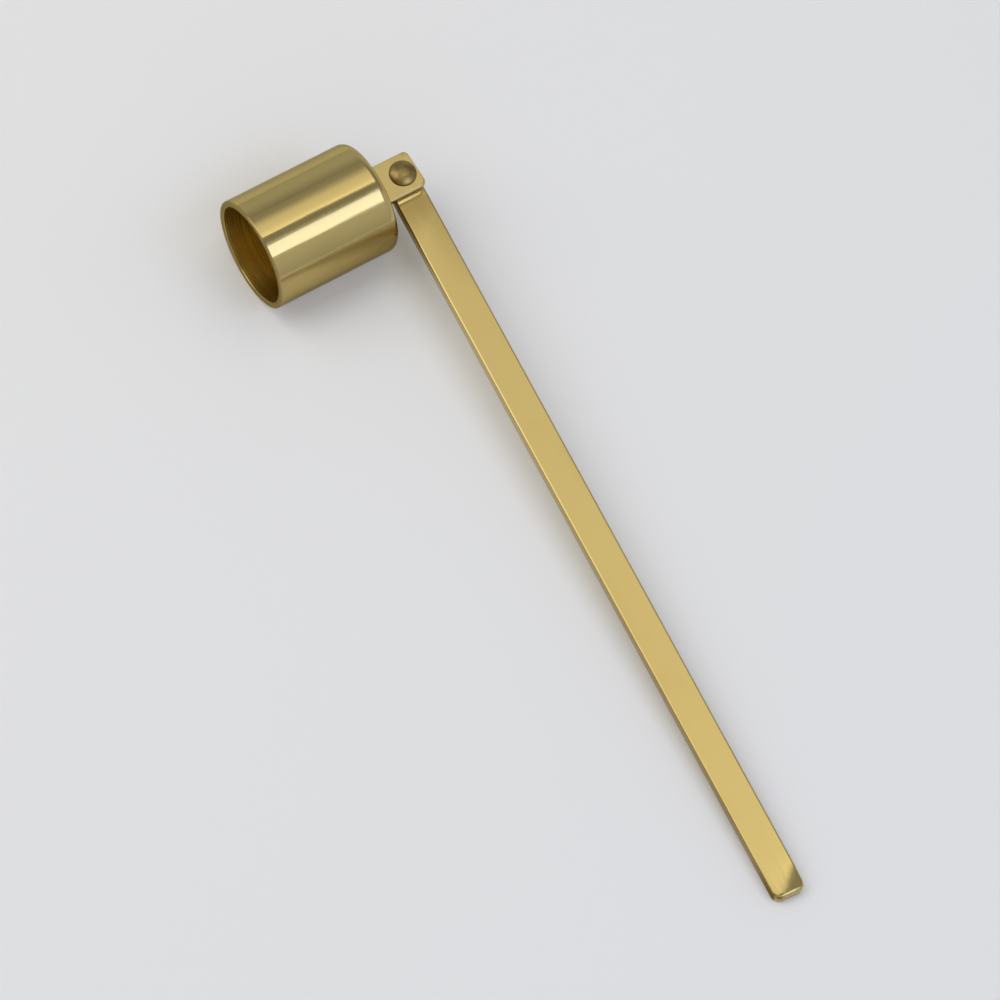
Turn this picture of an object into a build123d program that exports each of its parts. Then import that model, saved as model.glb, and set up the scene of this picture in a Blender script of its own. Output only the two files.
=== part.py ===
from build123d import *
import os
from math import asin, atan2, cos, degrees, hypot, radians, sin

# Candle snuffer: a turned brass cup on a flat bar handle, joined by one riveted hinge.
# Millimetres. It is modelled first with the cup's axis along X, its mouth at x = 0 and the hinge pin along Z,
# then laid down on its side, as it lies on a table: on the cup's wall and the tip of the handle.

# Cup
cup_diameter = 22.0
cup_length = 26.0
cup_wall = 1.3
crown_thickness = 1.6
crown_edge_radius = 1.7
bore_corner_radius = 1.2
rim_edge_radius = 0.3

# Lug on the crown
lug_width = 8.0
lug_thickness = 2.2
lug_overhang = 3.1
lug_corner_radius = 1.0
lug_edge_radius = 0.3
foot_height = 1.9
tenon_diameter = 3.0
tenon_hole_clearance = 0.02
tenon_head_diameter = 5.0
tenon_head_height = 0.45
tenon_washer_diameter = 7.0
tenon_washer_thickness = 0.5

# Handle
bar_width = 6.35
bar_thickness = 2.4
bar_reach = 156.4
bar_corner_radius = 1.65
bar_edge_radius = 0.4
bar_closed_from_square = 5.0

# Hinge
pivot_height = 6.9
rivet_diameter = 3.0
rivet_head_diameter = 5.2
rivet_head_height = 1.0
rivet_head_land = 0.25
rivet_tail_diameter = 4.6
rivet_tail_height = 0.8
tail_washer_diameter = 5.6
tail_washer_thickness = 0.5
running_clearance = 0.05
head_gap = 0.03

# Worked out from the sizes above
cup_radius = cup_diameter / 2
bore_radius = cup_radius - cup_wall
bore_depth = cup_length - crown_thickness
pivot_x = cup_length + pivot_height
lug_end_x = pivot_x + lug_overhang
bar_top = -running_clearance
bar_bottom = bar_top - bar_thickness
washer_bore_radius = rivet_diameter / 2 + running_clearance

on_base = (Align.CENTER, Align.CENTER, Align.MIN)


def domed_disc(diameter, height, land):
    """A disc on z = 0 with a short straight land and a shallow dome over it."""
    radius = diameter / 2
    rise = height - land
    dome_radius = (radius ** 2 + rise ** 2) / (2 * rise)
    ball = Pos(0, 0, height - dome_radius) * Sphere(dome_radius)
    return Cylinder(radius, height, align=on_base) & ball


def ring(diameter, bore, thickness):
    """A flat washer on z = 0."""
    return Cylinder(diameter / 2, thickness, align=on_base) - Cylinder(bore, thickness, align=on_base)


def along_cup(shape):
    """Turns a shape made along +Z to lie along the cup's axis, +X."""
    return Rot(0, 90, 0) * shape


def make_snuffer_cup():
    outside = Cylinder(cup_radius, cup_length, align=on_base)
    outside = fillet(outside.edges().sort_by(Axis.Z)[-1], crown_edge_radius)
    inside = Cylinder(bore_radius, bore_depth, align=on_base)
    inside = fillet(inside.edges().sort_by(Axis.Z)[-1], bore_corner_radius)
    tenon_hole = Cylinder(tenon_diameter / 2 + tenon_hole_clearance, cup_length, align=on_base)
    cup = outside - inside - tenon_hole
    rim_edges = cup.edges().group_by(Axis.Z)[0]
    return along_cup(fillet(rim_edges, rim_edge_radius))


def make_hinge_lug():
    lug_length = lug_end_x - cup_length
    outline = Pos(cup_length + lug_length / 2, 0) * Rectangle(lug_length, lug_width)
    outline = fillet(outline.vertices().group_by(Axis.X)[-1], lug_corner_radius)
    tongue = extrude(outline, lug_thickness)
    face_edges = tongue.edges().group_by(Axis.Z)[-1].sort_by(Axis.X)[1:]
    tongue = fillet(face_edges, lug_edge_radius)
    foot = Pos(cup_length + foot_height / 2, 0, 0) * Box(foot_height, lug_width, 2 * lug_thickness)
    tenon_length = crown_thickness + tenon_washer_thickness
    tenon = Pos(cup_length - tenon_length, 0, 0) * along_cup(
        Cylinder(tenon_diameter / 2, tenon_length + foot_height / 2, align=on_base)
    )
    head = domed_disc(tenon_head_diameter, tenon_head_height, tenon_head_height / 3)
    head = Pos(cup_length - tenon_length, 0, 0) * Rot(0, -90, 0) * head
    pin_hole = Pos(pivot_x, 0, 0) * Cylinder(washer_bore_radius, lug_thickness, align=on_base)
    return tongue + foot + tenon + head - pin_hole


def make_tenon_washer():
    washer = ring(tenon_washer_diameter, tenon_diameter / 2 + tenon_hole_clearance, tenon_washer_thickness)
    return Pos(bore_depth - tenon_washer_thickness, 0, 0) * along_cup(washer)


def make_handle_bar():
    shank = Pos(0, -bar_reach / 2) * Rectangle(bar_width, bar_reach)
    shank = fillet(shank.vertices().group_by(Axis.Y)[0], bar_corner_radius)
    outline = shank + Circle(bar_width / 2)
    bar = Pos(0, 0, bar_bottom) * extrude(outline, bar_thickness)
    faces = bar.faces().filter_by(Axis.Z)
    bar = fillet(faces.edges(), bar_edge_radius)
    bar -= Pos(0, 0, bar_bottom) * Cylinder(rivet_diameter / 2, bar_thickness, align=on_base)
    return swung(bar)


def make_pivot_rivet():
    head_seat = lug_thickness + head_gap
    tail_seat = bar_bottom - tail_washer_thickness
    shank = Pos(0, 0, tail_seat) * Cylinder(rivet_diameter / 2, head_seat - tail_seat, align=on_base)
    head = Pos(0, 0, head_seat) * domed_disc(rivet_head_diameter, rivet_head_height, rivet_head_land)
    tail = domed_disc(rivet_tail_diameter, rivet_tail_height, rivet_tail_height / 3)
    tail = Pos(0, 0, tail_seat) * Rot(180, 0, 0) * tail
    return swung(head + shank + tail)


def make_tail_washer():
    washer = ring(tail_washer_diameter, washer_bore_radius, tail_washer_thickness)
    return swung(Pos(0, 0, bar_bottom - tail_washer_thickness) * washer)


def swung(shape):
    """Puts a shape made about the hinge pin at the pivot, closed a little from square."""
    return Pos(pivot_x, 0, 0) * Rot(0, 0, -bar_closed_from_square) * shape


def roll_to_rest():
    """The roll about the cup's axis, in degrees, that sets the tip of the handle on the table.

    The tip's lower edge is a round of bar_edge_radius, so its centre comes to rest at that height."""
    swing = radians(bar_closed_from_square)
    square_reach = bar_reach - bar_corner_radius
    square_half_width = bar_width / 2 - bar_corner_radius
    tip_reach = square_reach * cos(swing) + square_half_width * sin(swing) + bar_corner_radius
    edge_out = tip_reach - bar_edge_radius
    edge_below_axis = -bar_bottom - bar_edge_radius
    drop = cup_radius - bar_edge_radius
    return degrees(asin(drop / hypot(edge_out, edge_below_axis)) - atan2(edge_below_axis, edge_out))


pieces = {
    "snuffer_cup": make_snuffer_cup(),
    "hinge_lug": make_hinge_lug(),
    "tenon_washer": make_tenon_washer(),
    "handle_bar": make_handle_bar(),
    "pivot_rivet": make_pivot_rivet(),
    "tail_washer": make_tail_washer(),
}

# Laid down, with the origin under the middle of its box
laid_down = Rot(roll_to_rest(), 0, 0)
box = Compound([laid_down * piece for piece in pieces.values()]).bounding_box()
to_origin = Pos(-box.center().X, -box.center().Y, -box.min.Z)
at_rest = to_origin * laid_down

os.makedirs("parts", exist_ok=True)
for name, piece in pieces.items():
    export_step(at_rest * piece, f"parts/{name}.step")

mouth = at_rest * Pos(0, 0, 0)
pivot = at_rest * Pos(pivot_x, 0, 0)
print("size", box.size)
print("roll to rest", roll_to_rest())
print("centre of the mouth", mouth.position)
print("pivot", pivot.position, "pin axis", Plane(pivot).z_dir)
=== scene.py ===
import bpy
import bmesh
from math import cos, hypot, pi, radians, sin
from mathutils import Matrix, Vector


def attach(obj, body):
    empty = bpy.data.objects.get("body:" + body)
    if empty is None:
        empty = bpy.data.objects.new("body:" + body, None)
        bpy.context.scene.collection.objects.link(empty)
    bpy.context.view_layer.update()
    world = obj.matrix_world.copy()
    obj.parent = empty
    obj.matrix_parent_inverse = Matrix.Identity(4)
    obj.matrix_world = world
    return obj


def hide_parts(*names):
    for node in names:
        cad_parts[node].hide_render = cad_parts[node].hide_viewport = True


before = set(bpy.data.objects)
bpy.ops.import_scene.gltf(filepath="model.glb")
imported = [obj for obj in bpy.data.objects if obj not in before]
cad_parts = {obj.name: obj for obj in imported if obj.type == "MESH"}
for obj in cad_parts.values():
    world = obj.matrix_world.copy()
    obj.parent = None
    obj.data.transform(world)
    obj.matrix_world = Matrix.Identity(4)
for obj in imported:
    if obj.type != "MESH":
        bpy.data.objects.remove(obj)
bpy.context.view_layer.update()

# Candle snuffer: a turned brass cup on a flat bar handle, joined by one riveted hinge. Metres.
mm = 0.001

# Cup, along its axis from the mouth
cup_radius = 11.0 * mm
cup_length = 26.0 * mm
bore_radius = 9.7 * mm
bore_depth = 24.4 * mm
crown_rounding = 1.7 * mm
bore_rounding = 1.2 * mm
rim_rounding = 0.3 * mm
tenon_hole_radius = 1.51 * mm

# Lug on the crown
lug_end = 36.0 * mm
lug_half_width = 4.0 * mm
lug_thickness = 2.2 * mm
lug_corner_rounding = 1.0 * mm
lug_front_rounding = 1.4 * mm
lug_bevel_width = 0.55 * mm
lug_bevel_depth = 0.30 * mm
lug_bevel_softness = 0.16 * mm
lug_bottom_rounding = 0.08 * mm
lug_undercut = 0.19 * mm
lug_back_easing = 0.35
foot_height = 1.9 * mm
foot_depth = 1.6 * lug_thickness
foot_middle = -0.2 * lug_thickness
tenon_radius = 1.5 * mm
tenon_head_radius = 2.5 * mm
tenon_head_height = 0.45 * mm
tenon_head_land = 0.15 * mm
tenon_dome_shares = (0.1, 0.3, 0.5, 0.65, 0.8, 0.9, 0.97, 1.0)
hair = 0.02 * mm
tenon_washer_radius = 3.5 * mm
tenon_washer_thickness = 0.5 * mm

# Handle bar, from the hinge pin out to the tip
bar_half_width = 3.175 * mm
bar_thickness = 2.4 * mm
bar_reach = 156.4 * mm
bar_corner_rounding = 1.65 * mm
bar_edge_rounding = 0.4 * mm
bar_edge_lead = 0.03 * mm
bar_swing = radians(-5.0)
tip_roll_length = 7.0 * mm
tip_roll_drop = 0.10 * mm
end_roll_length = 0.8 * mm
end_roll_drop = 0.16 * mm
filed_up_side = 4.7 * mm
filed_along_end = 3.8 * mm
filed_slope = 0.225
fold_softness = 1.5 * mm

# Hinge
pivot_along_cup = 32.9 * mm
running_gap = 0.05 * mm
head_gap = 0.03 * mm
rivet_radius = 1.5 * mm
pin_hole_radius = 1.55 * mm
drill_turn = radians(1.3)
drill_overrun = 0.5 * mm
rivet_head_radius = 2.6 * mm
rivet_head_height = 1.0 * mm
rivet_head_land = 0.25 * mm
rivet_tail_radius = 2.3 * mm
rivet_tail_height = 0.8 * mm
rivet_shoulder_share = 0.55
rivet_head_softness = 4.0 * mm
rivet_tail_softness = 3.0 * mm
rivet_edge_rounding = 0.15 * mm
rivet_seat_rounding = 0.06 * mm
tail_washer_radius = 2.8 * mm
tail_washer_thickness = 0.5 * mm
washer_rounding = 0.12 * mm

# Fineness of the meshes
cup_facets = 160
cup_rounding_facets = 10
small_facets = 72
small_rounding_facets = 6
drill_facets = 64
tenon_facets = 48
bar_columns = 24
bar_end_steps = 16
bar_corner_steps = 12
lug_columns = 8
lug_corner_steps = 14
edge_steps = 6
bevel_steps = 5
seam_weld = 0.001 * mm
weld_distance = 0.0005 * mm
crown_skin = 0.1 * mm
sharp_edge = radians(40)
flat_face_weight = 80

# Where the pieces lie: the cup on its side, the handle's tip on the table
mouth_centre = Vector((-18.0375, 72.342, 11.0)) * mm
roll_to_rest = radians(3.1521871)
laid_down = Matrix.Translation(mouth_centre) @ Matrix.Rotation(roll_to_rest, 4, "X")
along_cup = laid_down @ Matrix.Rotation(pi / 2, 4, "Y")
at_hinge = laid_down @ Matrix.Translation((pivot_along_cup, 0, 0))
swung_bar = at_hinge @ Matrix.Rotation(bar_swing, 4, "Z")
bar_top = -running_gap
bar_bottom = bar_top - bar_thickness

# Studio: a pale floor, and a long lens at the photo's viewing angle
floor_reach = 4.0
floor_colour = (0.93, 0.92, 0.90)
floor_roughness = 0.85
floor_sheen = 0.1
camera_aim = Vector((-1.232, 10.683, 0.0)) * mm
camera_distance = 1.28051
camera_left_of_front = radians(41.1412)
camera_elevation = radians(62.4311)
camera_roll = radians(10.0439)
camera_lens = 251.018
camera_sensor = 36.0


# Brass finishes

class Finish:
    """A brass material under construction, with its nodes in one place."""

    def __init__(self, name):
        self.material = bpy.data.materials.new(name)
        self.material.use_nodes = True
        self.nodes = self.material.node_tree.nodes
        self.links = self.material.node_tree.links
        self.shader = self.nodes["Principled BSDF"]
        self.shader.inputs["Metallic"].default_value = 1.0

    def add(self, kind, **values):
        """A new node with some of its settings."""
        node = self.nodes.new(kind)
        for name, value in values.items():
            setattr(node, name, value)
        return node

    def join(self, source, target):
        self.links.new(source, target)

    def place(self, piece_frame):
        """Object coordinates turned into the piece's own frame, in metres."""
        coordinates = self.add("ShaderNodeTexCoord")
        mapping = self.add("ShaderNodeMapping", vector_type="POINT")
        back = piece_frame.inverted()
        mapping.inputs["Location"].default_value = back.to_translation()
        mapping.inputs["Rotation"].default_value = back.to_euler()
        self.join(coordinates.outputs["Object"], mapping.inputs["Vector"])
        return mapping.outputs["Vector"]

    def stretched_noise(self, place, per_metre, detail=2.0, roughness=0.5):
        """Noise with its own spacing along each axis of the piece, from 0 to 1."""
        mapping = self.add("ShaderNodeMapping", vector_type="POINT")
        mapping.inputs["Scale"].default_value = per_metre
        noise = self.add("ShaderNodeTexNoise")
        noise.inputs["Scale"].default_value = 1.0
        noise.inputs["Detail"].default_value = detail
        noise.inputs["Roughness"].default_value = roughness
        self.join(place, mapping.inputs["Vector"])
        self.join(mapping.outputs["Vector"], noise.inputs["Vector"])
        return noise.outputs["Fac"]

    def spread(self, source, low, high, to_low, to_high):
        """Maps a range of one value onto another, held at both ends."""
        node = self.add("ShaderNodeMapRange", interpolation_type="SMOOTHSTEP")
        node.inputs["From Min"].default_value = low
        node.inputs["From Max"].default_value = high
        node.inputs["To Min"].default_value = to_low
        node.inputs["To Max"].default_value = to_high
        self.join(source, node.inputs["Value"])
        return node.outputs["Result"]

    def sums(self, operation, first, second):
        """Works on two values, each a socket or a number."""
        node = self.add("ShaderNodeMath", operation=operation)
        for socket, value in zip(node.inputs, (first, second)):
            if isinstance(value, float):
                socket.default_value = value
            else:
                self.join(value, socket)
        return node.outputs["Value"]

    def blend(self, share, bright, dull):
        """A mix of two colours, each a socket or a triple, from bright at a share of 0 to dull at 1."""
        node = self.add("ShaderNodeMix", data_type="RGBA")
        for socket, value in ((node.inputs["A"], bright), (node.inputs["B"], dull)):
            if isinstance(value, tuple):
                socket.default_value = (*value, 1.0)
            else:
                self.join(value, socket)
        self.join(share, node.inputs["Factor"])
        return node.outputs["Result"]

    def split(self, place):
        """The three coordinates of a place."""
        node = self.add("ShaderNodeSeparateXYZ")
        self.join(place, node.inputs["Vector"])
        return node.outputs

    def bump(self, height, distance, under=None):
        """Fine relief of a height from 0 to 1 times distance, on top of any relief under it."""
        node = self.add("ShaderNodeBump")
        node.inputs["Distance"].default_value = distance
        node.inputs["Strength"].default_value = 1.0
        self.join(height, node.inputs["Height"])
        if under:
            self.join(under, node.inputs["Normal"])
        return node.outputs["Normal"]

    def finish(self, colour, roughness, normal):
        """Joins the finished values to the shader and hands over the material."""
        self.join(colour, self.shader.inputs["Base Color"])
        self.join(roughness, self.shader.inputs["Roughness"])
        self.join(normal, self.shader.inputs["Normal"])
        return self.material


bright_brass = (0.583, 0.454, 0.180)
dull_brass = (0.475, 0.353, 0.122)
dark_brass = (0.338, 0.238, 0.079)
# Painted light: the bore's brass is brighter than the outside's, to lift the dark inside of the cup
bore_brass_painted_bright = (0.87, 0.68, 0.19)
dull_bore_brass_painted_bright = (0.74, 0.56, 0.15)
# Painted highlight: a pale brass for the low part of the lug's side
painted_highlight_brass = (0.80, 0.70, 0.52)
rivet_brass = (0.35, 0.255, 0.092)
dark_rivet_brass = (0.22, 0.15, 0.050)
clean_edge_tint = (1.0, 1.0, 1.0)
# Painted shade: an edge tint that darkens the cup's grazing reflections at its limbs
grazing_shade_edge_tint = (0.54, 0.53, 0.46)
# Painted shade: an edge tint for the handle's shaded left wall and tip corner
shaded_left_wall_tint = (0.50, 0.40, 0.20)


def turned_cup_brass():
    """The cup's outside: polished in the lathe, rubbed along its length, with painted shade at its rim and on
    its lower front side toward the crown.
    """
    brass = Finish("turned_cup_brass")
    # Painted shade: the edge tint darkens the cup's grazing reflections, at its upper and lower limbs
    brass.shader.inputs["Specular Tint"].default_value = (*grazing_shade_edge_tint, 1.0)
    place = brass.place(along_cup)
    clouds = brass.stretched_noise(place, (140, 140, 70), 4.0, 0.55)
    streaks = brass.stretched_noise(place, (1300, 1300, 45), 3.0, 0.6)
    lathe_lines = brass.stretched_noise(place, (30, 30, 5200), 3.0, 0.65)
    body = brass.blend(brass.spread(clouds, 0.45, 0.75, 0.0, 0.30), bright_brass, dull_brass)
    down, across, along = brass.split(place)
    # Painted shade: the rim is darkened toward dark brass
    at_rim = brass.spread(along, 0.12 * mm, 0.40 * mm, 0.8, 0.0)
    # Painted shade: the lower front side is darkened toward the crown, broken up by the clouds
    front_side = brass.spread(across, -9.4 * mm, -8.75 * mm, 1.0, 0.0)
    below_middle = brass.spread(down, -2.5 * mm, 1.0 * mm, 1.0, 0.4)
    front_side = brass.sums("MULTIPLY", front_side, below_middle)
    toward_crown = brass.spread(along, 2.0 * mm, 22.0 * mm, 0.45, 0.90)
    mottle = brass.spread(clouds, 0.35, 0.65, 0.75, 1.05)
    painted_low_front_shade = brass.sums("MULTIPLY", front_side, brass.sums("MULTIPLY", toward_crown, mottle))
    darkened = brass.sums("MAXIMUM", at_rim, painted_low_front_shade)
    colour = brass.blend(darkened, body, dark_brass)
    worn = brass.spread(streaks, 0.35, 0.7, 0.09, 0.14)
    lined = brass.spread(lathe_lines, 0.4, 0.65, 0.0, 0.03)
    shade_and_dulling = brass.sums("MULTIPLY", darkened, 0.12)
    roughness = brass.sums("ADD", shade_and_dulling, brass.sums("ADD", worn, lined))
    normal = brass.bump(streaks, 0.012 * mm)
    normal = brass.bump(lathe_lines, 0.0008 * mm, normal)
    return brass.finish(colour, roughness, normal)


def cup_bore_brass():
    """The cup's inside: as it left the boring tool, warmer and less polished, and painted brighter than the
    outside as painted light in the dark bore.
    """
    brass = Finish("cup_bore_brass")
    place = brass.place(along_cup)
    clouds = brass.stretched_noise(place, (220, 220, 160), 4.0, 0.55)
    tool_lines = brass.stretched_noise(place, (25, 25, 14000), 1.0, 0.5)
    colour = brass.blend(brass.spread(clouds, 0.4, 0.75, 0.0, 0.6), bore_brass_painted_bright, dull_bore_brass_painted_bright)
    roughness = brass.spread(tool_lines, 0.3, 0.7, 0.20, 0.28)
    normal = brass.bump(tool_lines, 0.018 * mm)
    return brass.finish(colour, roughness, normal)


def drawn_bar_brass():
    """The handle: drawn bar, rubbed along its length, with painted shade near the lug where it is also
    duller, down its left wall and at the tip's left corner, and darker on the right of its upper part.
    """
    brass = Finish("drawn_bar_brass")
    place = brass.place(swung_bar)
    across, along, through = brass.split(place)
    clouds = brass.stretched_noise(place, (160, 60, 160), 4.0, 0.55)
    rubbed = brass.stretched_noise(place, (2600, 30, 2600), 3.0, 0.6)
    waves = brass.stretched_noise(place, (120, 45, 120), 1.0, 0.4)
    # Painted shade: the face darkens toward the lug, and the same mask makes it duller
    clear_of_lug = brass.spread(along, -4.75 * mm, -4.5 * mm, 1.0, 0.0)
    toward_lug = brass.spread(along, -14 * mm, -5.5 * mm, 0.0, 0.66)
    near_lug = brass.sums("MULTIPLY", clear_of_lug, toward_lug)
    upper_part = brass.spread(along, -32 * mm, -6 * mm, 0.0, 0.45)
    right_side = brass.spread(across, -2.5 * mm, 3.0 * mm, 0.0, 1.0)
    shade_and_dulling = brass.sums("MAXIMUM", near_lug, brass.sums("MULTIPLY", upper_part, right_side))
    # Painted shade: the left wall darkens, most toward the tip
    left_side = brass.spread(across, -3.1 * mm, -2.75 * mm, 1.0, 0.0)
    down_wall = brass.spread(along, -150 * mm, -30 * mm, 0.95, 0.2)
    shade_and_dulling = brass.sums("MAXIMUM", shade_and_dulling, brass.sums("MULTIPLY", down_wall, left_side))
    patches = brass.spread(clouds, 0.5, 0.8, 0.0, 0.12)
    colour = brass.blend(brass.sums("ADD", shade_and_dulling, patches), bright_brass, dark_brass)
    # Painted shade: the left wall beside the cup and at the tip, and the tip's left corner, go dark, with an
    # edge tint that darkens their grazing reflections
    beside_cup = brass.spread(along, -24 * mm, -7 * mm, 0.0, 0.42)
    at_tip = brass.spread(along, -156 * mm, -146 * mm, 0.8, 0.0)
    shaded_left_wall = brass.sums("MULTIPLY", left_side, brass.sums("MAXIMUM", beside_cup, at_tip))
    end_of_tip = brass.spread(along, -156.2 * mm, -155.2 * mm, 0.9, 0.0)
    left_corner = brass.spread(across, -2.3 * mm, -1.0 * mm, 1.0, 0.0)
    near_face = brass.spread(through, -1.4 * mm, -0.6 * mm, 0.0, 1.0)
    shaded_tip_corner = brass.sums("MULTIPLY", near_face, brass.sums("MULTIPLY", end_of_tip, left_corner))
    painted_bar_shade = brass.sums("MAXIMUM", shaded_left_wall, shaded_tip_corner)
    colour = brass.blend(painted_bar_shade, colour, dark_rivet_brass)
    edge_tint = brass.blend(painted_bar_shade, clean_edge_tint, shaded_left_wall_tint)
    brass.join(edge_tint, brass.shader.inputs["Specular Tint"])
    worn = brass.spread(rubbed, 0.3, 0.7, 0.12, 0.18)
    buffed_tip = brass.spread(along, -155 * mm, -146 * mm, 0.03, 0.0)
    worn = brass.sums("ADD", worn, buffed_tip)
    roughness = brass.sums("ADD", worn, brass.sums("MULTIPLY", shade_and_dulling, 0.10))
    normal = brass.bump(waves, 0.05 * mm)
    normal = brass.bump(rubbed, 0.0016 * mm, normal)
    return brass.finish(colour, roughness, normal)


def filed_lug_brass():
    """The lug: filed across, then rubbed down, with a painted highlight low on its side, and painted shade
    above it and on its foot.
    """
    brass = Finish("filed_lug_brass")
    place = brass.place(at_hinge)
    clouds = brass.stretched_noise(place, (300, 300, 300), 4.0, 0.55)
    file_lines = brass.stretched_noise(place, (120, 3200, 900), 3.0, 0.6)
    face = brass.blend(brass.spread(clouds, 0.4, 0.75, 0.06, 0.40), bright_brass, dull_brass)
    across, through = brass.split(place)[1:]
    # Painted highlight low on the lug's side walls, painted shade above it
    wall = brass.spread(brass.sums("ABSOLUTE", across, 0.0), 3.6 * mm, 3.8 * mm, 0.0, 1.0)
    highlighted_low_wall = brass.sums("MULTIPLY", wall, brass.spread(through, 1.0 * mm, 1.25 * mm, 1.0, 0.0))
    shaded_high_wall = brass.sums("MULTIPLY", wall, brass.spread(through, 1.7 * mm, 1.85 * mm, 1.0, 0.0))
    colour = brass.blend(shaded_high_wall, face, dark_rivet_brass)
    colour = brass.blend(highlighted_low_wall, colour, painted_highlight_brass)
    # Painted shade: the foot under the lug is darkened
    shaded_foot = brass.spread(through, -0.2 * mm, 0.0, 0.8, 0.0)
    colour = brass.blend(shaded_foot, colour, dark_rivet_brass)
    above_side = brass.spread(through, 1.7 * mm, 1.85 * mm, 0.0, 0.24)
    below_face = brass.spread(through, 2.13 * mm, 2.19 * mm, 1.0, 0.0)
    on_bevel = brass.sums("MULTIPLY", above_side, below_face)
    roughness = brass.sums("ADD", on_bevel, brass.spread(file_lines, 0.3, 0.7, 0.16, 0.22))
    normal = brass.bump(file_lines, 0.0008 * mm)
    return brass.finish(colour, roughness, normal)


def hammered_rivet_brass():
    """The rivet: a head closed with a hammer, darker in patches over its dents, with painted shade in a ring
    round the edge of its head.
    """
    brass = Finish("hammered_rivet_brass")
    place = brass.place(swung_bar)
    dents = brass.stretched_noise(place, (900, 900, 900), 2.0, 0.5)
    grain = brass.stretched_noise(place, (5200, 5200, 5200), 3.0, 0.6)
    across, along = brass.split(place)[:2]
    squares = [brass.sums("MULTIPLY", side, side) for side in (across, along)]
    off_pin = brass.sums("SQRT", brass.sums("ADD", *squares), 0.0)
    # Painted shade: a dark ring round the edge of the head
    shaded_head_edge = brass.spread(off_pin, 0.82 * rivet_head_radius, 0.98 * rivet_head_radius, 0.0, 0.9)
    in_dents = brass.spread(dents, 0.35, 0.7, 0.0, 0.8)
    colour = brass.blend(brass.sums("MAXIMUM", in_dents, shaded_head_edge), rivet_brass, dark_rivet_brass)
    roughness = brass.spread(grain, 0.3, 0.7, 0.28, 0.38)
    normal = brass.bump(dents, 0.04 * mm)
    normal = brass.bump(grain, 0.002 * mm, normal)
    return brass.finish(colour, roughness, normal)


def stamped_washer_brass(name, piece_frame):
    """A stamped washer: tumbled, with a fine even grain."""
    brass = Finish(name)
    place = brass.place(piece_frame)
    clouds = brass.stretched_noise(place, (500, 500, 500), 4.0, 0.55)
    grain = brass.stretched_noise(place, (4200, 4200, 4200), 3.0, 0.6)
    colour = brass.blend(brass.spread(clouds, 0.35, 0.75, 0.05, 0.55), bright_brass, dull_brass)
    roughness = brass.spread(grain, 0.3, 0.7, 0.22, 0.34)
    normal = brass.bump(grain, 0.003 * mm)
    return brass.finish(colour, roughness, normal)


# Turned pieces

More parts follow.
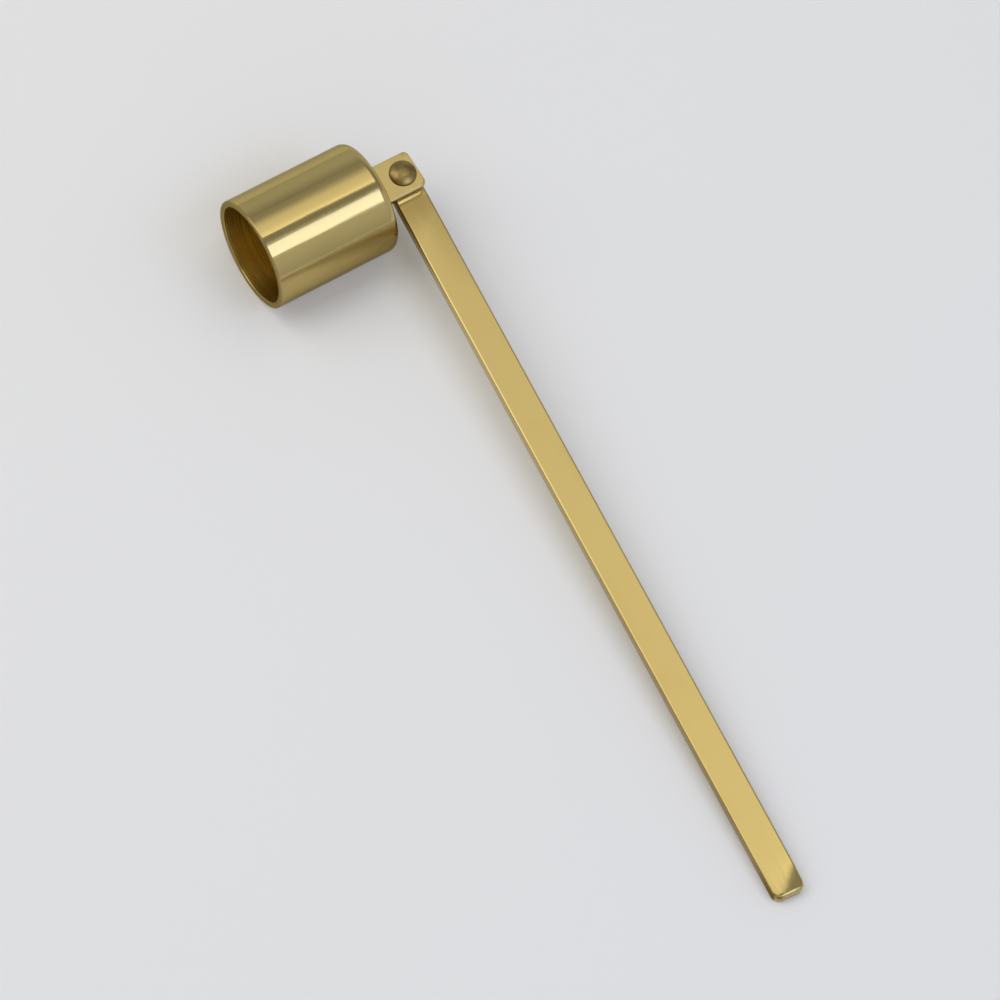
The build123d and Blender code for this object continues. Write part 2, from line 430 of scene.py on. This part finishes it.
def turning_tree(name, corners, ring_section):
    """A lathe: named corners of a half section, each with its rounding, turned about Z."""
    tree = bpy.data.node_groups.new(name, "GeometryNodeTree")
    nodes = tree.nodes
    links = tree.links

    def add_input(label, kind):
        return tree.interface.new_socket(label, in_out="INPUT", socket_type=kind)

    tree.interface.new_socket("Piece", in_out="OUTPUT", socket_type="NodeSocketGeometry")
    for corner in corners:
        for size in ("along", "radius", "rounding"):
            add_input(f"{corner} {size}", "NodeSocketFloat").subtype = "DISTANCE"
    add_input("facets round", "NodeSocketInt")
    add_input("facets in a rounding", "NodeSocketInt")
    add_input("brass", "NodeSocketMaterial")
    sizes = nodes.new("NodeGroupInput")
    place = nodes.new("NodeGroupOutput")

    points = nodes.new("GeometryNodePoints")
    points.inputs["Count"].default_value = len(corners)
    index = nodes.new("GeometryNodeInputIndex")
    places = nodes.new("GeometryNodeIndexSwitch")
    places.data_type = "VECTOR"
    roundings = nodes.new("GeometryNodeIndexSwitch")
    roundings.data_type = "FLOAT"
    for switch in (places, roundings):
        while len(switch.index_switch_items) < len(corners):
            switch.index_switch_items.new()
        links.new(index.outputs["Index"], switch.inputs["Index"])
    for number, corner in enumerate(corners):
        point = nodes.new("ShaderNodeCombineXYZ")
        links.new(sizes.outputs[f"{corner} radius"], point.inputs["X"])
        links.new(sizes.outputs[f"{corner} along"], point.inputs["Y"])
        links.new(point.outputs["Vector"], places.inputs[number + 1])
        links.new(sizes.outputs[f"{corner} rounding"], roundings.inputs[number + 1])
    links.new(places.outputs["Output"], points.inputs["Position"])

    section = nodes.new("GeometryNodePointsToCurves")
    closed = nodes.new("GeometryNodeSetSplineCyclic")
    closed.inputs["Cyclic"].default_value = ring_section
    rounded = nodes.new("GeometryNodeFilletCurve")
    rounded.mode = "POLY"
    rounded.inputs["Limit Radius"].default_value = True
    links.new(points.outputs["Points"], section.inputs["Points"])
    links.new(section.outputs["Curves"], closed.inputs["Geometry"])
    links.new(closed.outputs["Geometry"], rounded.inputs["Curve"])
    links.new(roundings.outputs["Output"], rounded.inputs["Radius"])
    links.new(sizes.outputs["facets in a rounding"], rounded.inputs["Count"])

    # The section is turned on a thread of a circle, so its own radius is taken off again
    spine = 1.0 * mm
    shifted = nodes.new("GeometryNodeTransform")
    shifted.inputs["Translation"].default_value = (-spine, 0, 0)
    shifted.inputs["Scale"].default_value = (1, -1, 1)
    circle = nodes.new("GeometryNodeCurvePrimitiveCircle")
    circle.mode = "RADIUS"
    circle.inputs["Radius"].default_value = spine
    turned = nodes.new("GeometryNodeCurveToMesh")
    merged = nodes.new("GeometryNodeMergeByDistance")
    merged.inputs["Distance"].default_value = seam_weld
    smooth = nodes.new("GeometryNodeSetShadeSmooth")
    realized = nodes.new("GeometryNodeRealizeInstances")
    coated = nodes.new("GeometryNodeSetMaterial")
    links.new(rounded.outputs["Curve"], shifted.inputs["Geometry"])
    links.new(sizes.outputs["facets round"], circle.inputs["Resolution"])
    links.new(circle.outputs["Curve"], turned.inputs["Curve"])
    links.new(shifted.outputs["Geometry"], turned.inputs["Profile Curve"])
    links.new(turned.outputs["Mesh"], merged.inputs["Geometry"])
    links.new(merged.outputs["Geometry"], smooth.inputs["Geometry"])
    links.new(smooth.outputs["Geometry"], realized.inputs["Geometry"])
    links.new(realized.outputs["Geometry"], coated.inputs["Geometry"])
    links.new(sizes.outputs["brass"], coated.inputs["Material"])
    links.new(coated.outputs["Geometry"], place.inputs["Piece"])
    return tree


def new_piece(name, mesh):
    piece = bpy.data.objects.new(name, mesh)
    bpy.context.scene.collection.objects.link(piece)
    return piece


def settle(piece):
    """Turns a piece and its modifiers into a plain mesh."""
    bpy.context.view_layer.update()
    evaluated = piece.evaluated_get(bpy.context.evaluated_depsgraph_get())
    mesh = bpy.data.meshes.new_from_object(evaluated)
    mesh.name = piece.name
    piece.modifiers.clear()
    piece.data = mesh
    return mesh


def outward(mesh):
    """Points every face of a closed shell outwards."""
    shell = bmesh.new()
    shell.from_mesh(mesh)
    bmesh.ops.remove_doubles(shell, verts=shell.verts, dist=weld_distance)
    bmesh.ops.recalc_face_normals(shell, faces=shell.faces)
    shell.to_mesh(mesh)
    shell.free()


def smooth_faces(piece):
    """Shades a piece smooth, with sharp edges kept sharp."""
    piece.data.shade_smooth()
    piece.data.set_sharp_from_angle(angle=sharp_edge)


def true_faces(piece):
    """Shades flats and roundings true: sharp edges stay sharp, and large faces hold their own normals."""
    smooth_faces(piece)
    weighted = piece.modifiers.new("true faces", "WEIGHTED_NORMAL")
    weighted.mode = "FACE_AREA"
    weighted.weight = flat_face_weight
    weighted.keep_sharp = True
    settle(piece)


def turn_piece(name, section, placing, brass, facets, ring_section, rounding_facets=small_rounding_facets):
    """Turns a piece from its section: a list of corner name, distance along the axis, radius and rounding."""
    tree = turning_tree(name + "_turning", [corner[0] for corner in section], ring_section)
    piece = new_piece(name, bpy.data.meshes.new(name))
    lathe = piece.modifiers.new("turning", "NODES")
    lathe.node_group = tree
    sizes = {"facets round": facets, "facets in a rounding": rounding_facets, "brass": brass}
    for corner, along, radius, rounding in section:
        sizes[f"{corner} along"] = along
        sizes[f"{corner} radius"] = radius
        sizes[f"{corner} rounding"] = rounding
    for socket in tree.interface.items_tree:
        if socket.in_out == "INPUT":
            lathe[socket.identifier] = sizes[socket.name]
    mesh = settle(piece)
    outward(mesh)
    mesh.transform(placing)
    true_faces(piece)
    return piece


def make_snuffer_cup():
    section = [
        ("rim inside", 0.0, bore_radius, rim_rounding),
        ("rim outside", 0.0, cup_radius, rim_rounding),
        ("crown edge", cup_length, cup_radius, crown_rounding),
        ("tenon hole outside", cup_length, tenon_hole_radius, 0.0),
        ("tenon hole inside", bore_depth, tenon_hole_radius, 0.0),
        ("bore corner", bore_depth, bore_radius, bore_rounding),
    ]
    outside_brass = turned_cup_brass()
    cup = turn_piece(
        "snuffer_cup_turned", section, along_cup, outside_brass, cup_facets, True, cup_rounding_facets
    )
    cup.data.materials.append(cup_bore_brass())
    to_axis = along_cup.inverted()
    for face in cup.data.polygons:
        centre = to_axis @ face.center
        off_axis = Vector((centre.x, centre.y)).length
        within_bore = off_axis < bore_radius + seam_weld
        past_rim = rim_rounding < centre.z < cup_length - crown_skin
        face.material_index = 1 if within_bore and past_rim else 0
    return cup


def make_pivot_rivet():
    seat = lug_thickness + head_gap
    tail_seat = bar_bottom - tail_washer_thickness
    crown = seat + rivet_head_height
    tail_crown = tail_seat - rivet_tail_height
    section = [
        ("head centre", crown, 0.0, 0.0),
        ("head shoulder", crown, rivet_head_radius * rivet_shoulder_share, rivet_head_softness),
        ("head edge", seat + rivet_head_land, rivet_head_radius, rivet_edge_rounding),
        ("head seat edge", seat, rivet_head_radius, rivet_seat_rounding),
        ("shank at head", seat, rivet_radius, 0.0),
        ("shank at tail", tail_seat, rivet_radius, 0.0),
        ("tail seat edge", tail_seat, rivet_tail_radius, rivet_seat_rounding),
        ("tail edge", tail_seat - rivet_tail_height / 3, rivet_tail_radius, rivet_edge_rounding),
        ("tail shoulder", tail_crown, rivet_tail_radius * rivet_shoulder_share, rivet_tail_softness),
        ("tail centre", tail_crown, 0.0, 0.0),
    ]
    return turn_piece("pivot_rivet_turned", section, swung_bar, hammered_rivet_brass(), small_facets, False)


def make_washer(name, low, thickness, bore, radius, placing, brass):
    section = [
        ("bore bottom", low, bore, 0.0),
        ("outside bottom", low, radius, washer_rounding),
        ("outside top", low + thickness, radius, washer_rounding),
        ("bore top", low + thickness, bore, 0.0),
    ]
    return turn_piece(name, section, placing, brass, small_facets, True)


# Flat pieces

def rounding(radius, undercut=0.0):
    """A round edge: (inset, depth below the face) pairs from the side of a plate to its face."""
    angles = [pi / 2 * step / edge_steps for step in range(edge_steps + 1)]
    return [(undercut + radius * (1 - cos(angle)), radius * (1 - sin(angle))) for angle in angles]


def led_in(edge, lead):
    """Adds a short flat at both ends of a round edge, so that side and face are shaded flat up to it."""
    side, depth = edge[0]
    inset, face = edge[-1]
    return [(side, depth + lead)] + edge + [(inset + lead, face)]


def bevel(width, depth, softness):
    """A bevelled edge whose two corners are eased off over a short softness: (inset, depth) pairs."""
    slant = Vector((width, -depth)).normalized() * softness
    pairs = []
    for corner, before, after in (
        (Vector((0, depth)), Vector((0, softness)), slant),
        (Vector((width, 0)), -slant, Vector((softness, 0))),
    ):
        for step in range(bevel_steps + 1):
            share = step / bevel_steps
            pairs.append(tuple(corner + before * (1 - share) ** 2 + after * share ** 2))
    return pairs


def skin(shell, lower_loop, upper_loop):
    """Makes the faces between two closed loops with the same number of points."""
    for number in range(len(lower_loop)):
        following = (number + 1) % len(lower_loop)
        below = (lower_loop[number], lower_loop[following])
        above = (upper_loop[following], upper_loop[number])
        shell.faces.new(below + above)


def rounded_plate(name, rows, columns, bottom, top, bottom_edge, top_edge, lower=None):
    """A plate with eased edges, from rows across it.

    rows(inset) gives (left, right, along) for each row of the outline drawn in by inset, as many rows at
    every inset. Each edge is a list of (inset, depth) from the plate's side to its face, and
    lower(across, along), if given, is how far the top face is let down there."""
    rings = [(inset, bottom + depth) for inset, depth in reversed(bottom_edge)]
    rings += [(inset, top - depth) for inset, depth in top_edge]

    shell = bmesh.new()

    def grid_point(row, column, height):
        left, right, along = row
        across = left + (right - left) * column / columns
        if lower:
            height -= lower(across, along) * (height - bottom) / (top - bottom)
        return shell.verts.new((across, along, height))

    loops = []
    for inset, height in rings:
        outline = rows(inset)
        last = len(outline) - 1
        loop = [grid_point(outline[number], 0, height) for number in range(last + 1)]
        loop += [grid_point(outline[last], column, height) for column in range(1, columns)]
        loop += [grid_point(outline[number], columns, height) for number in range(last, -1, -1)]
        loop += [grid_point(outline[0], column, height) for column in range(columns - 1, 0, -1)]
        loops.append(loop)
    for lower_loop, upper_loop in zip(loops, loops[1:]):
        skin(shell, lower_loop, upper_loop)
    for loop, (inset, height) in ((loops[0], rings[0]), (loops[-1], rings[-1])):
        outline = rows(inset)
        last = len(outline) - 1
        right = last + columns
        face_rows = []
        for number in range(last + 1):
            if number == 0:
                across = [loop[0]] + [loop[-column] for column in range(1, columns)] + [loop[right + last]]
            elif number == last:
                across = loop[last:right + 1]
            else:
                across = [loop[number]]
                across += [grid_point(outline[number], column, height) for column in range(1, columns)]
                across.append(loop[right + last - number])
            face_rows.append(across)
        for row, next_row in zip(face_rows, face_rows[1:]):
            for column in range(columns):
                shell.faces.new((row[column], row[column + 1], next_row[column + 1], next_row[column]))
    bmesh.ops.remove_doubles(shell, verts=shell.verts, dist=weld_distance)
    bmesh.ops.recalc_face_normals(shell, faces=shell.faces)
    mesh = bpy.data.meshes.new(name)
    shell.to_mesh(mesh)
    shell.free()
    return new_piece(name, mesh)


def drill(piece, centre, radius, low, high):
    """Bores a round hole through a piece, along Z, turned a little to clear the lines of the piece's grid."""
    placing = Matrix.Translation((*centre, 0)) @ Matrix.Rotation(drill_turn, 4, "Z")
    steps = [(low - drill_overrun, radius), (high + drill_overrun, radius)]
    combine(piece, round_bar(steps, drill_facets, placing), "DIFFERENCE")


def round_bar(steps, facets, placing):
    """A round solid along Z. steps: (height, radius) pairs from its lower end to its upper end."""
    solid = bmesh.new()
    angles = [2 * pi * number / facets for number in range(facets)]
    rings = []
    for height, radius in steps:
        points = [(radius * cos(angle), radius * sin(angle), height) for angle in angles]
        rings.append([solid.verts.new(point) for point in points])
    for lower_ring, upper_ring in zip(rings, rings[1:]):
        skin(solid, lower_ring, upper_ring)
    solid.faces.new(rings[0][::-1])
    solid.faces.new(rings[-1])
    bmesh.ops.transform(solid, matrix=placing, verts=solid.verts)
    return solid


def combine(piece, solid, operation):
    """Adds a bmesh solid to a piece, or takes it away."""
    mesh = bpy.data.meshes.new("tool")
    solid.to_mesh(mesh)
    solid.free()
    tool = new_piece("tool", mesh)
    cut = piece.modifiers.new("cut", "BOOLEAN")
    cut.operation = operation
    cut.solver = "EXACT"
    cut.object = tool
    settle(piece)
    bpy.data.objects.remove(tool)
    bpy.data.meshes.remove(mesh)


def bar_rows(inset):
    """The handle's outline: a round end about the pin, straight sides, a square tip with rounded corners."""
    rows = []
    end_radius = bar_half_width - inset
    for step in range(1, bar_end_steps + 1):
        angle = pi / 2 * step / bar_end_steps
        rows.append((end_radius * sin(angle), end_radius * cos(angle)))
    corner_centre = bar_corner_rounding - bar_reach

    # Rows down the straight part, close together where the tip is filed
    stations = [station * mm for station in (6, 14, 30, 50, 70, 90, 110, 125, 138, 145)]
    stations += [148 * mm + 0.3 * mm * step for step in range(23)]
    stations.append(-corner_centre)
    rows += [(end_radius, -station) for station in stations]
    corner_radius = bar_corner_rounding - inset
    flat = bar_half_width - bar_corner_rounding
    for step in range(1, bar_corner_steps + 1):
        angle = pi / 2 * step / bar_corner_steps
        rows.append((flat + corner_radius * cos(angle), corner_centre - corner_radius * sin(angle)))
    return [(-half, half, along) for half, along in rows]


def tip_roll(across, along):
    """How far the handle's face falls away at the tip, and more where one corner is filed off."""
    from_tip = along + bar_reach
    drop = max(0.0, 1 - from_tip / tip_roll_length) ** 2 * tip_roll_drop
    drop += max(0.0, 1 - from_tip / end_roll_length) ** 2 * end_roll_drop
    steepness = Vector((1 / filed_up_side, 1 / filed_along_end)).length
    from_side = bar_half_width - across
    past_fold = (1 - from_tip / filed_up_side - from_side / filed_along_end) / steepness
    drop += filed_slope * (past_fold + hypot(past_fold, fold_softness)) / 2
    return drop


def make_handle_bar():
    edge = led_in(rounding(bar_edge_rounding), bar_edge_lead)
    bar = rounded_plate("handle_bar_drawn", bar_rows, bar_columns, bar_bottom, bar_top, edge, edge, tip_roll)
    drill(bar, (0, 0), rivet_radius, bar_bottom, bar_top)
    bar.data.transform(swung_bar)
    bar.data.materials.append(drawn_bar_brass())
    smooth_faces(bar)
    return bar


def lug_rows(inset):
    """The lug's outline from the crown to its free end, its front corner more rounded than its back corner.

    The front is drawn in by inset, the back and the end less."""
    end_inset = inset * lug_back_easing
    rows_along = [cup_length, (cup_length + pivot_along_cup) / 2]
    for step in range(lug_corner_steps + 1):
        angle = pi / 2 * step / lug_corner_steps
        rows_along.append(lug_end - lug_front_rounding + (lug_front_rounding - end_inset) * sin(angle))
    rows = []
    for along in rows_along:
        front = corner_reach(along, lug_front_rounding, inset, end_inset)
        back = corner_reach(along, lug_corner_rounding, end_inset, end_inset)
        rows.append((-front, back, -along))
    return rows


def corner_reach(along, corner_rounding, side_inset, end_inset):
    """How far one side of the lug lies from its middle line, its corner rounded off toward the free end."""
    past_start = max(0.0, along - lug_end + corner_rounding) / (corner_rounding - end_inset)
    reach = max(0.0, 1 - past_start ** 2) ** 0.5
    return lug_half_width - corner_rounding + (corner_rounding - side_inset) * reach


def make_hinge_lug():
    bottom_edge = rounding(lug_bottom_rounding, lug_undercut)
    top_edge = bevel(lug_bevel_width, lug_bevel_depth, lug_bevel_softness)
    lug = rounded_plate("hinge_lug_filed", lug_rows, lug_columns, 0.0, lug_thickness, bottom_edge, top_edge)
    lug.data.transform(Matrix.Rotation(pi / 2, 4, "Z"))

    # Solids that join are let a hair into each other, so that no two faces lie in one plane
    foot = bmesh.new()
    foot_width = 2 * (lug_half_width - lug_undercut - hair)
    foot_size = Matrix.Diagonal((foot_height - hair, foot_width, foot_depth, 1.0))
    foot_place = Matrix.Translation((cup_length + (foot_height + hair) / 2, 0, foot_middle))
    bmesh.ops.create_cube(foot, size=1.0, matrix=foot_place @ foot_size)
    combine(lug, foot, "UNION")

    head_seat = bore_depth - tenon_washer_thickness
    head_rise = tenon_head_height - tenon_head_land
    tenon = []
    for share in tenon_dome_shares:
        fall = head_rise * (1 - share ** 2)
        tenon.append((head_seat - tenon_head_land - fall, tenon_head_radius * share))
    tenon.append((head_seat, tenon_head_radius))
    tenon.append((head_seat, tenon_radius))
    tenon.append((cup_length + foot_height / 2, tenon_radius))
    sideways = Matrix.Rotation(pi / 2, 4, "Y") @ Matrix.Rotation(drill_turn, 4, "Z")
    combine(lug, round_bar(tenon, tenon_facets, sideways), "UNION")

    drill(lug, (pivot_along_cup, 0), pin_hole_radius, 0.0, lug_thickness)
    lug.data.transform(laid_down)
    lug.data.materials.append(filed_lug_brass())
    true_faces(lug)
    return lug


snuffer_cup = make_snuffer_cup()
hinge_lug = make_hinge_lug()
tenon_washer = make_washer(
    "tenon_washer_stamped", bore_depth - tenon_washer_thickness, tenon_washer_thickness, tenon_hole_radius,
    tenon_washer_radius, along_cup, stamped_washer_brass("tenon_washer_brass", along_cup),
)
handle_bar = make_handle_bar()
pivot_rivet = make_pivot_rivet()
tail_washer = make_washer(
    "tail_washer_stamped", bar_bottom - tail_washer_thickness, tail_washer_thickness, pin_hole_radius,
    tail_washer_radius, swung_bar, stamped_washer_brass("tail_washer_brass", swung_bar),
)

for piece, node, body, slot in (
    (snuffer_cup, "snuffer_cup", "cup", "cup_brass"),
    (hinge_lug, "hinge_lug", "cup", "lug_brass"),
    (tenon_washer, "tenon_washer", "cup", "washer_brass"),
    (handle_bar, "handle_bar", "handle", "handle_brass"),
    (pivot_rivet, "pivot_rivet", "handle", "rivet_brass"),
    (tail_washer, "tail_washer", "handle", "washer_brass"),
):
    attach(piece, body)
    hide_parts(node)


# Studio

def make_floor():
    mesh = bpy.data.meshes.new("floor")
    corners = [(x * floor_reach, y * floor_reach, 0) for x, y in ((-1, -1), (1, -1), (1, 1), (-1, 1))]
    mesh.from_pydata(corners, [], [(0, 1, 2, 3)])
    material = bpy.data.materials.new("pale_floor")
    material.use_nodes = True
    shader = material.node_tree.nodes["Principled BSDF"]
    shader.inputs["Base Color"].default_value = (*floor_colour, 1.0)
    shader.inputs["Roughness"].default_value = floor_roughness
    shader.inputs["Specular IOR Level"].default_value = floor_sheen
    mesh.materials.append(material)
    floor = new_piece("floor", mesh)


def add_softbox(name, centre, aim, length, width, radiance, tint):
    """A soft lamp at centre that faces aim. Its length lies along the cup, X, and its width across."""
    lamp = bpy.data.lights.new(name, "AREA")
    lamp.shape = "RECTANGLE"
    lamp.size = length
    lamp.size_y = width
    lamp.energy = radiance * pi * width * length
    lamp.color = tint
    box = bpy.data.objects.new(name, lamp)
    bpy.context.scene.collection.objects.link(box)
    back = (Vector(centre) - Vector(aim)).normalized()
    up = back.cross(Vector((1, 0, 0))).normalized()
    side = up.cross(back)
    turn = Matrix((side, up, back)).transposed().to_4x4()
    box.matrix_world = Matrix.Translation(centre) @ turn
    box.visible_camera = False
    return box


def set_levels(ramp, steps, tint=(1.0, 1.0, 1.0)):
    """Sets a colour ramp from (position, level) pairs, with each level tinted."""
    while len(ramp.elements) < len(steps):
        ramp.elements.new(0.5)
    for stop, (position, level) in zip(ramp.elements, steps):
        stop.position = position
        stop.color = (*(level * share for share in tint), 1.0)


def fade_across(box, steps):
    """Fades a softbox across its width. steps: (share of the width, level) pairs."""
    lamp = box.data
    lamp.use_nodes = True
    nodes = lamp.node_tree.nodes
    links = lamp.node_tree.links
    on_lamp = nodes.new("ShaderNodeNewGeometry")
    shares = nodes.new("ShaderNodeSeparateXYZ")
    fade = nodes.new("ShaderNodeValToRGB")
    set_levels(fade.color_ramp, steps)
    links.new(on_lamp.outputs["Parametric"], shares.inputs["Vector"])
    links.new(shares.outputs["Y"], fade.inputs["Fac"])
    links.new(fade.outputs["Color"], nodes["Emission"].inputs["Strength"])


def light_studio():
    """Two softboxes overhead, a cool one in front and a warm one behind, and a large one from the left."""
    add_softbox(
        "front_softbox", centre=(0.30, -0.635, 0.964), aim=(0.30, -0.635, 0),
        length=0.70, width=0.63, radiance=2.14, tint=(0.578, 0.655, 1.0),
    )
    back_box = add_softbox(
        "back_softbox", centre=(0.12, 0.47, 0.964), aim=(0.12, 0.47, 0),
        length=1.16, width=0.96, radiance=1.39, tint=(1.0, 0.95, 0.82),
    )
    near_half = [(0.0, 1.0), (0.06, 0.84), (0.13, 0.60), (0.27, 0.53), (0.41, 0.45)]
    far_half = [(0.56, 0.25), (0.75, 0.05)]
    fade_across(back_box, near_half + far_half)
    add_softbox(
        "left_softbox", centre=(-0.70, 0.50, 0.87), aim=(0, 0, 0),
        length=1.15, width=0.90, radiance=1.35, tint=(1.0, 0.98, 0.94),
    )
    light_world()


def light_world():
    """A dim grey room, a little lighter toward the front and the horizon."""
    world = bpy.data.worlds.new("studio")
    world.use_nodes = True
    nodes = world.node_tree.nodes
    links = world.node_tree.links
    direction = nodes.new("ShaderNodeTexCoord")
    parts = nodes.new("ShaderNodeSeparateXYZ")
    tilt = nodes.new("ShaderNodeMath")
    tilt.operation = "ARCTAN2"
    share = nodes.new("ShaderNodeMapRange")
    share.inputs["From Min"].default_value = pi / 2
    share.inputs["From Max"].default_value = -pi / 2
    levels = nodes.new("ShaderNodeValToRGB")
    behind = [(-90, 0.52), (-66, 0.52), (-55, 0.42), (-45, 0.31)]
    in_front = [(12, 0.31), (42, 0.60), (60, 0.61), (76, 0.55), (90, 0.48)]
    steps = [((degrees_forward + 90) / 180, level) for degrees_forward, level in behind + in_front]
    set_levels(levels.color_ramp, steps, tint=(1.0, 1.03, 1.06))
    links.new(direction.outputs["Generated"], parts.inputs["Vector"])
    links.new(parts.outputs["Y"], tilt.inputs[0])
    links.new(parts.outputs["Z"], tilt.inputs[1])
    links.new(tilt.outputs["Value"], share.inputs["Value"])
    links.new(share.outputs["Result"], levels.inputs["Fac"])
    links.new(levels.outputs["Color"], nodes["Background"].inputs["Color"])
    bpy.context.scene.world = world


def set_camera():
    """Looks down at the table from the front left, tipped a little to one side."""
    camera = bpy.data.cameras.new("camera")
    camera.lens = camera_lens
    camera.sensor_width = camera_sensor
    view = bpy.data.objects.new("camera", camera)
    bpy.context.scene.collection.objects.link(view)
    turn = Matrix.Rotation(-camera_left_of_front, 4, "Z")
    lift = Matrix.Rotation(pi / 2 - camera_elevation, 4, "X")
    tip = Matrix.Rotation(camera_roll, 4, "Z")
    out = Matrix.Translation((0, 0, camera_distance))
    view.matrix_world = Matrix.Translation(camera_aim) @ turn @ lift @ tip @ out
    bpy.context.scene.camera = view


make_floor()
light_studio()
set_camera()
bpy.context.scene.view_settings.view_transform = "Standard"
